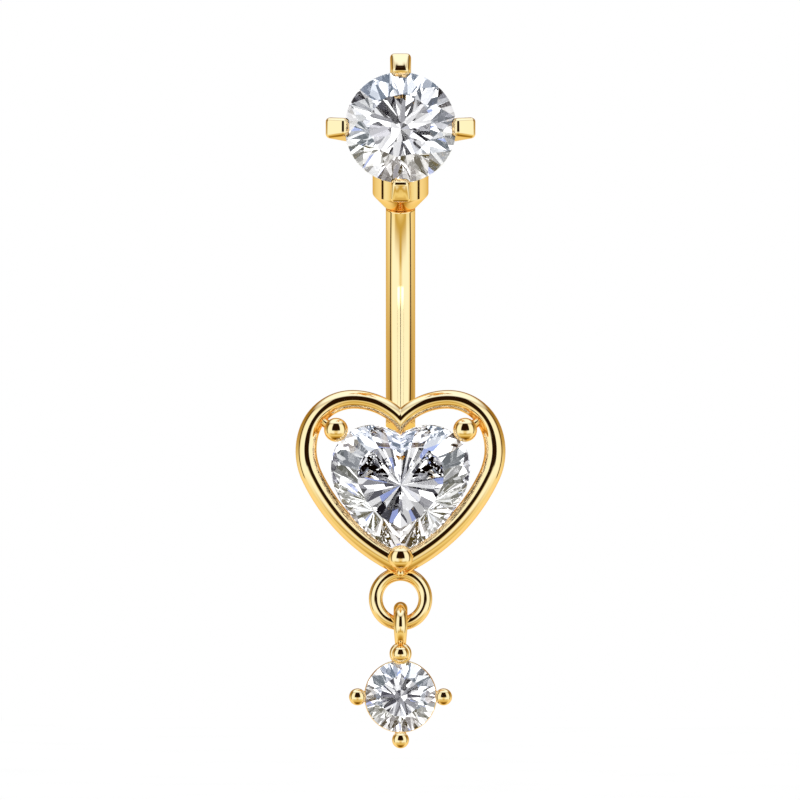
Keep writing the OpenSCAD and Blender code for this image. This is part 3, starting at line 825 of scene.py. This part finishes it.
def plating_group():
    group = bpy.data.node_groups.new("polished_plating", "ShaderNodeTree")
    socket_in(group, "Pale gold", "NodeSocketColor", (1.0, 0.76, 0.42, 1))
    socket_in(group, "Deep gold", "NodeSocketColor", (1.0, 0.71, 0.35, 1))
    socket_in(group, "Drift scale", "NodeSocketFloat", 220.0)
    socket_in(group, "Ripple scale", "NodeSocketFloat", 900.0)
    socket_in(group, "Least roughness", "NodeSocketFloat", 0.02)
    socket_in(group, "Most roughness", "NodeSocketFloat", 0.07)
    for name, kind in (("Color", "NodeSocketColor"), ("Roughness", "NodeSocketFloat"),
                       ("Height", "NodeSocketFloat")):
        group.interface.new_socket(name=name, in_out="OUTPUT", socket_type=kind)
    inputs = new_node(group, "NodeGroupInput")
    outputs = new_node(group, "NodeGroupOutput")
    place = new_node(group, "ShaderNodeTexCoord")
    drift = new_node(group, "ShaderNodeTexNoise")
    ripple = new_node(group, "ShaderNodeTexNoise")
    gloss = new_node(group, "ShaderNodeMapRange")
    tint = new_node(group, "ShaderNodeMix", data_type="RGBA")
    link = group.links.new
    for noise, scale in ((drift, "Drift scale"), (ripple, "Ripple scale")):
        link(place.outputs["Object"], noise.inputs["Vector"])
        link(inputs.outputs[scale], noise.inputs["Scale"])
        noise.inputs["Detail"].default_value = 2
    link(drift.outputs["Fac"], tint.inputs["Factor"])
    link(inputs.outputs["Pale gold"], tint.inputs["A"])
    link(inputs.outputs["Deep gold"], tint.inputs["B"])
    link(drift.outputs["Fac"], gloss.inputs["Value"])
    gloss.inputs["From Min"].default_value = 0.3
    gloss.inputs["From Max"].default_value = 0.7
    link(inputs.outputs["Least roughness"], gloss.inputs["To Min"])
    link(inputs.outputs["Most roughness"], gloss.inputs["To Max"])
    link(tint.outputs["Result"], outputs.inputs["Color"])
    link(gloss.outputs["Result"], outputs.inputs["Roughness"])
    link(ripple.outputs["Fac"], outputs.inputs["Height"])
    return group


PLATING = plating_group()


def gold_material(name, values, ripple=0.02):
    """A plated finish. Ripple is how strongly the fine waves bend reflections."""
    material = bpy.data.materials.new(name)
    material.use_nodes = True
    tree = material.node_tree
    shader = tree.nodes["Principled BSDF"]
    shader.inputs["Metallic"].default_value = 1
    shader.inputs["Specular Tint"].default_value = (1.0, 0.78, 0.46, 1)
    plating = new_node(tree, "ShaderNodeGroup", node_tree=PLATING)
    for key, value in values.items():
        plating.inputs[key].default_value = value
    bump = new_node(tree, "ShaderNodeBump")
    bump.inputs["Strength"].default_value = ripple
    bump.inputs["Distance"].default_value = 0.02 * MM
    tree.links.new(plating.outputs["Color"], shader.inputs["Base Color"])
    tree.links.new(plating.outputs["Roughness"], shader.inputs["Roughness"])
    tree.links.new(plating.outputs["Height"], bump.inputs["Height"])
    tree.links.new(bump.outputs["Normal"], shader.inputs["Normal"])
    return material


bar_gold = gold_material(
    "bar_gold", {"Drift scale": 300.0, "Least roughness": 0.03, "Most roughness": 0.08})
wire_gold = gold_material("wire_gold", {"Drift scale": 260.0})
cast_gold = gold_material(
    "cast_gold", {"Drift scale": 420.0, "Least roughness": 0.03, "Most roughness": 0.09})
# Clear stones would carry the gold's colour into every facet, so they don't see it.
for piece, finish in (
        (bar_piece, bar_gold), (heart_piece, wire_gold), (prong_piece, wire_gold),
        (ring_piece, wire_gold), (top_piece, cast_gold), (drop_piece, cast_gold)):
    piece.data.materials.append(finish)
    piece.visible_transmission = False
    print(piece.name, "is finished in", finish.name)

# %% [markdown]
# Cubic zirconia bends light more than glass does and splits white light into colours.
# The index of refraction is the real one. True splitting would need far more samples,
# so it is drawn by the facets: each one carries a faint tint of its own as an attribute,
# most of them clear or nearly so, a few blue.

# %% The stones' material
FIRE = (
    (1.0, 1.0, 1.0), (0.97, 0.98, 1.0), (0.80, 0.86, 1.0), (0.99, 0.99, 0.96), (0.88, 0.86, 1.0))
FIRE_ORDER = (0, 1, 0, 3, 0, 1, 2, 0, 0, 1, 4, 0, 1)


def stone_material(name, clarity):
    material = bpy.data.materials.new(name)
    material.use_nodes = True
    tree = material.node_tree
    shader = tree.nodes["Principled BSDF"]
    shader.inputs["Transmission Weight"].default_value = 1
    shader.inputs["Roughness"].default_value = 0
    shader.inputs["IOR"].default_value = 2.16
    fire = new_node(tree, "ShaderNodeAttribute", attribute_name="fire")
    soft = new_node(tree, "ShaderNodeMix", data_type="RGBA")
    soft.inputs["Factor"].default_value = clarity
    soft.inputs["B"].default_value = (1, 1, 1, 1)
    tree.links.new(fire.outputs["Color"], soft.inputs["A"])
    tree.links.new(soft.outputs["Result"], shader.inputs["Base Color"])
    return material


def paint_fire(piece):
    """Gives every facet its own faint tint."""
    layer = piece.data.color_attributes.new("fire", "FLOAT_COLOR", "CORNER")
    for face in piece.data.polygons:
        tint = FIRE[FIRE_ORDER[(face.index * 5) % len(FIRE_ORDER)]]
        for corner in face.loop_indices:
            layer.data[corner].color = (*tint, 1)


round_clear = stone_material("round_stone", 0.3)
heart_clear = stone_material("heart_stone", 0.3)
for piece, finish in ((top_gem, round_clear), (drop_gem, round_clear), (heart_gem, heart_clear)):
    paint_fire(piece)
    piece.data.materials.append(finish)
    print(piece.name, "is painted with fire on", len(piece.data.polygons), "facets")

# %% [markdown]
# Polished gold and clear stones show only what surrounds them. A jeweller's photographer
# puts white panels above and beside the piece and a dark card round the lens, which gives
# the crisp black bands. Lamps could stand round the piece, but a sky drawn by direction
# keeps every panel's edge and place in one short table. The camera itself sees plain
# white.

# %% The studio
scene.view_settings.view_transform = "Standard"
scene.view_settings.look = "None"
scene.cycles.glossy_bounces = 9


def tree_math(tree, operation, *values):
    """A Math node's result from numbers and other nodes' outputs."""
    node = new_node(tree, "ShaderNodeMath", operation=operation)
    for index, value in enumerate(values):
        if isinstance(value, (int, float)):
            node.inputs[index].default_value = value
        else:
            tree.links.new(value, node.inputs[index])
    return node.outputs[0]


# What sets a panel, in the order of the table's last five columns.
PANEL_ANGLES = ("Middle azimuth", "Half width", "Middle elevation", "Half height", "Softness")


def panel_group():
    """A soft-edged panel on the sky: how much of it lies in a direction, from 0 to 1."""
    group = bpy.data.node_groups.new("studio_panel", "ShaderNodeTree")
    for name in ("Azimuth", "Elevation", *PANEL_ANGLES):
        socket_in(group, name, "NodeSocketFloat", 0.0)
    group.interface.new_socket(name="Mask", in_out="OUTPUT", socket_type="NodeSocketFloat")
    value = new_node(group, "NodeGroupInput").outputs
    outputs = new_node(group, "NodeGroupOutput")
    masks = []
    for angle, middle, half in (("Azimuth", "Middle azimuth", "Half width"),
                                ("Elevation", "Middle elevation", "Half height")):
        off = tree_math(group, "SUBTRACT", value[angle], value[middle])
        inside = tree_math(group, "SUBTRACT", value[half], tree_math(group, "ABSOLUTE", off))
        ramp = new_node(group, "ShaderNodeMapRange", interpolation_type="SMOOTHSTEP")
        before = tree_math(group, "MULTIPLY", value["Softness"], -1)
        group.links.new(inside, ramp.inputs["Value"])
        group.links.new(before, ramp.inputs["From Min"])
        group.links.new(value["Softness"], ramp.inputs["From Max"])
        masks.append(ramp.outputs["Result"])
    group.links.new(tree_math(group, "MULTIPLY", *masks), outputs.inputs["Mask"])
    return group


PANEL = panel_group()
# Each row: title, colour, brightness, then the middle azimuth, half width, middle
# elevation, half height and softness in degrees. Azimuth 0 is the front, where the lens
# is, and both sides are alike. A later row lies over the rows before it.
PANELS = [
    ("floor in front", (0.60, 0.46, 0.12), 1.0, 0, 50, -26, 9, 4),
    ("side panels", (0.86, 1.0, 1.1), 1.22, 42, 32, 10, 34, 9),
    ("overhead panel", (0.80, 1.0, 1.3), 1.34, 0, 200, 76, 27, 11),
    ("rear floor", (1.0, 0.92, 0.62), 1.0, 122, 34, -36, 22, 9),
    ("seams", (0.03, 0.01, 0.0), 1.0, 87, 5.5, 10, 34, 2),
    ("lens card", (0.02, 0.008, 0.002), 1.0, 0, 25, 22, 26, 3),
]
world = bpy.data.worlds.new("studio")
scene.world = world
world.use_nodes = True
world.cycles.sampling_method = "NONE"
sky = world.node_tree
sky.nodes.clear()
direction = new_node(sky, "ShaderNodeTexCoord")
parts = new_node(sky, "ShaderNodeSeparateXYZ")
sky.links.new(direction.outputs["Generated"], parts.inputs[0])


to_side = tree_math(sky, "ABSOLUTE", parts.outputs["X"])
to_front = tree_math(sky, "MULTIPLY", parts.outputs["Y"], -1)
azimuth = tree_math(sky, "ARCTAN2", to_side, to_front)
elevation = tree_math(sky, "ARCSINE", parts.outputs["Z"])
# The room behind the panels, by elevation in degrees.
ROOM = [
    (-90, (0.08, 0.03, 0.0)), (-76, (0.22, 0.12, 0.01)), (-58, (0.56, 0.38, 0.08)),
    (-40, (0.90, 0.83, 0.44)), (-22, (0.92, 0.92, 0.66)), (-6, (0.85, 0.80, 0.52)),
    (8, (0.55, 0.42, 0.16)), (30, (0.32, 0.2, 0.04))]


def colour_ramp(stops, factor, interpolation="LINEAR"):
    """A colour that follows a value through stops of position and colour."""
    ramp = new_node(sky, "ShaderNodeValToRGB")
    ramp.color_ramp.interpolation = interpolation
    for index, (stop, colour) in enumerate(stops):
        points = ramp.color_ramp.elements
        point = points[index] if index < 2 else points.new(stop)
        point.position = stop
        point.color = (*colour, 1)
    sky.links.new(factor, ramp.inputs["Fac"])
    return ramp.outputs["Color"]


def blend(mask, under, over):
    """Lays a colour over another as far as a mask says. A colour is an output or a tuple."""
    mix = new_node(sky, "ShaderNodeMix", data_type="RGBA")
    sky.links.new(mask, mix.inputs["Factor"])
    for name, colour in (("A", under), ("B", over)):
        if isinstance(colour, tuple):
            mix.inputs[name].default_value = (*colour, 1)
        else:
            sky.links.new(colour, mix.inputs[name])
    return mix.outputs["Result"]


height = tree_math(sky, "ADD", tree_math(sky, "DIVIDE", elevation, math.pi), 0.5)
light = colour_ramp([(degrees / 180 + 0.5, colour) for degrees, colour in ROOM], height)
for title, colour, brightness, *angles in PANELS:
    panel = new_node(sky, "ShaderNodeGroup", node_tree=PANEL, label=title)
    sky.links.new(azimuth, panel.inputs["Azimuth"])
    sky.links.new(elevation, panel.inputs["Elevation"])
    for name, degrees in zip(PANEL_ANGLES, angles):
        panel.inputs[name].default_value = math.radians(degrees)
    light = blend(panel.outputs["Mask"], light, tuple(c * brightness for c in colour))
print("panels on the sky:", len(PANELS))

# %% [markdown]
# A clear stone needs light and dark side by side to sparkle. What shines through the
# stones comes from a tent of white paper with gaps: cells of random brightness, most of
# them white or pale, some grey or dark and a few blue. A plain white sky would make the
# stones look like ice. The paper floor has its own even light, and the camera sees white.

# %% The tent that the stones see
CELLS = 13.0
PAPER_LIGHT = (1.14, 1.14, 1.14)
WHITE = (1.0, 1.0, 1.0)
TENT = [
    (0.0, (0.01, 0.01, 0.015)), (0.19, (0.09, 0.09, 0.11)), (0.31, (0.36, 0.44, 0.84)),
    (0.34, (0.33, 0.33, 0.36)), (0.48, (0.70, 0.70, 0.71)), (0.60, (1.0, 1.0, 1.02)),
    (0.78, (2.1, 2.1, 2.1))]
cells = new_node(sky, "ShaderNodeTexVoronoi")
cells.inputs["Scale"].default_value = CELLS
sky.links.new(direction.outputs["Generated"], cells.inputs["Vector"])
cell_value = new_node(sky, "ShaderNodeSeparateXYZ")
sky.links.new(cells.outputs["Color"], cell_value.inputs[0])
tent = colour_ramp(TENT, cell_value.outputs["X"], "CONSTANT")
rays = new_node(sky, "ShaderNodeLightPath").outputs
light = blend(rays["Is Transmission Ray"], light, tent)
light = blend(rays["Is Diffuse Ray"], light, PAPER_LIGHT)
light = blend(rays["Is Camera Ray"], light, WHITE)
background = new_node(sky, "ShaderNodeBackground")
sky.links.new(light, background.inputs["Color"])
world_out = new_node(sky, "ShaderNodeOutputWorld")
sky.links.new(background.outputs[0], world_out.inputs["Surface"])
print("nodes on the sky:", len(sky.nodes))

# %% [markdown]
# The piece hangs free, as it does when worn, over a pale floor. A wide disc has no
# corners to show from other sides. The floor is kept out of reflections, because the
# sky's lower half already draws its glow.

# %% The floor
FLOOR_BELOW = 6.0
FLOOR_R = 300.0
floor_shape = bmesh.new()
bmesh.ops.create_circle(floor_shape, cap_ends=True, segments=128, radius=FLOOR_R * MM)
floor_z = cad_box[0][2] - FLOOR_BELOW * MM
bmesh.ops.translate(floor_shape, vec=(0, 0, floor_z), verts=floor_shape.verts)
floor_mesh = bpy.data.meshes.new("floor")
floor_shape.to_mesh(floor_mesh)
floor_shape.free()
floor = bpy.data.objects.new("floor", floor_mesh)
scene.collection.objects.link(floor)
floor.visible_glossy = False
floor.visible_transmission = False
paper = bpy.data.materials.new("floor_paper")
paper.use_nodes = True
paper_shader = paper.node_tree.nodes["Principled BSDF"]
paper_shader.inputs["Roughness"].default_value = 1
paper_shader.inputs["Specular IOR Level"].default_value = 0
paper_noise = new_node(paper.node_tree, "ShaderNodeTexNoise")
paper_noise.inputs["Scale"].default_value = 60
paper_tint = new_node(paper.node_tree, "ShaderNodeMix", data_type="RGBA")
paper_tint.inputs["A"].default_value = (0.86, 0.86, 0.86, 1)
paper_tint.inputs["B"].default_value = (0.9, 0.9, 0.9, 1)
paper.node_tree.links.new(paper_noise.outputs["Fac"], paper_tint.inputs["Factor"])
paper.node_tree.links.new(paper_tint.outputs["Result"], paper_shader.inputs["Base Color"])
floor_mesh.materials.append(paper)
print("floor at, mm:", round(floor_z / MM, 2))

# %% [markdown]
# The photograph is taken level and from far off, so a long lens at 0.7 m draws the piece
# almost without perspective. A short lens near by would swell the stones. The view is
# 43.5 mm high at the piece, and its middle lies a little below the piercing.

# %% The camera
CAMERA_AWAY = 0.7
VIEW_HEIGHT = 43.48 * MM
VIEW_MIDDLE = Vector((-0.03 * MM, 0, -4.57 * MM))
lens = bpy.data.cameras.new("camera")
lens.sensor_width = 36
lens.lens = lens.sensor_width * CAMERA_AWAY / VIEW_HEIGHT
lens.clip_start = 0.01
lens.clip_end = 10
camera = bpy.data.objects.new("camera", lens)
scene.collection.objects.link(camera)
camera.location = VIEW_MIDDLE + Vector((0, -CAMERA_AWAY, 0))
camera.rotation_euler = (math.radians(90), 0, 0)
scene.camera = camera
print("lens, mm:", round(lens.lens))

# %% [markdown]
# The dark card would draw a broad black stripe down the middle of the straight bar. The
# card could be made narrower, but then the heart's bands would be lost. So two soft
# strips, which light the bar alone, keep it bright and leave one thin dark line.

# %% The bar's own strips
STRIP_W = 0.12
STRIP_H = 0.3
STRIP_OUT = 0.072
STRIP_AWAY = 0.3
STRIP_UP = 0.098
STRIP_LIGHT = 1.22
only_bar = bpy.data.collections.new("lit_by_bar_strips")
only_bar.objects.link(bar_piece)
for side in (1, -1):
    strip_light = bpy.data.lights.new("bar_strip", "AREA")
    strip_light.shape = "RECTANGLE"
    strip_light.size = STRIP_W
    strip_light.size_y = STRIP_H
    strip_light.color = (0.86, 1.0, 1.1)
    strip_light.energy = STRIP_LIGHT * math.pi * strip_light.size * strip_light.size_y
    strip = bpy.data.objects.new("bar_strip", strip_light)
    scene.collection.objects.link(strip)
    strip.location = (side * STRIP_OUT, -STRIP_AWAY, STRIP_UP)
    strip.rotation_euler = (math.radians(90), 0, 0)
    strip.visible_camera = False
    strip.light_linking.receiver_collection = only_bar
print("strips for the bar, watts each:", round(strip_light.energy, 4))
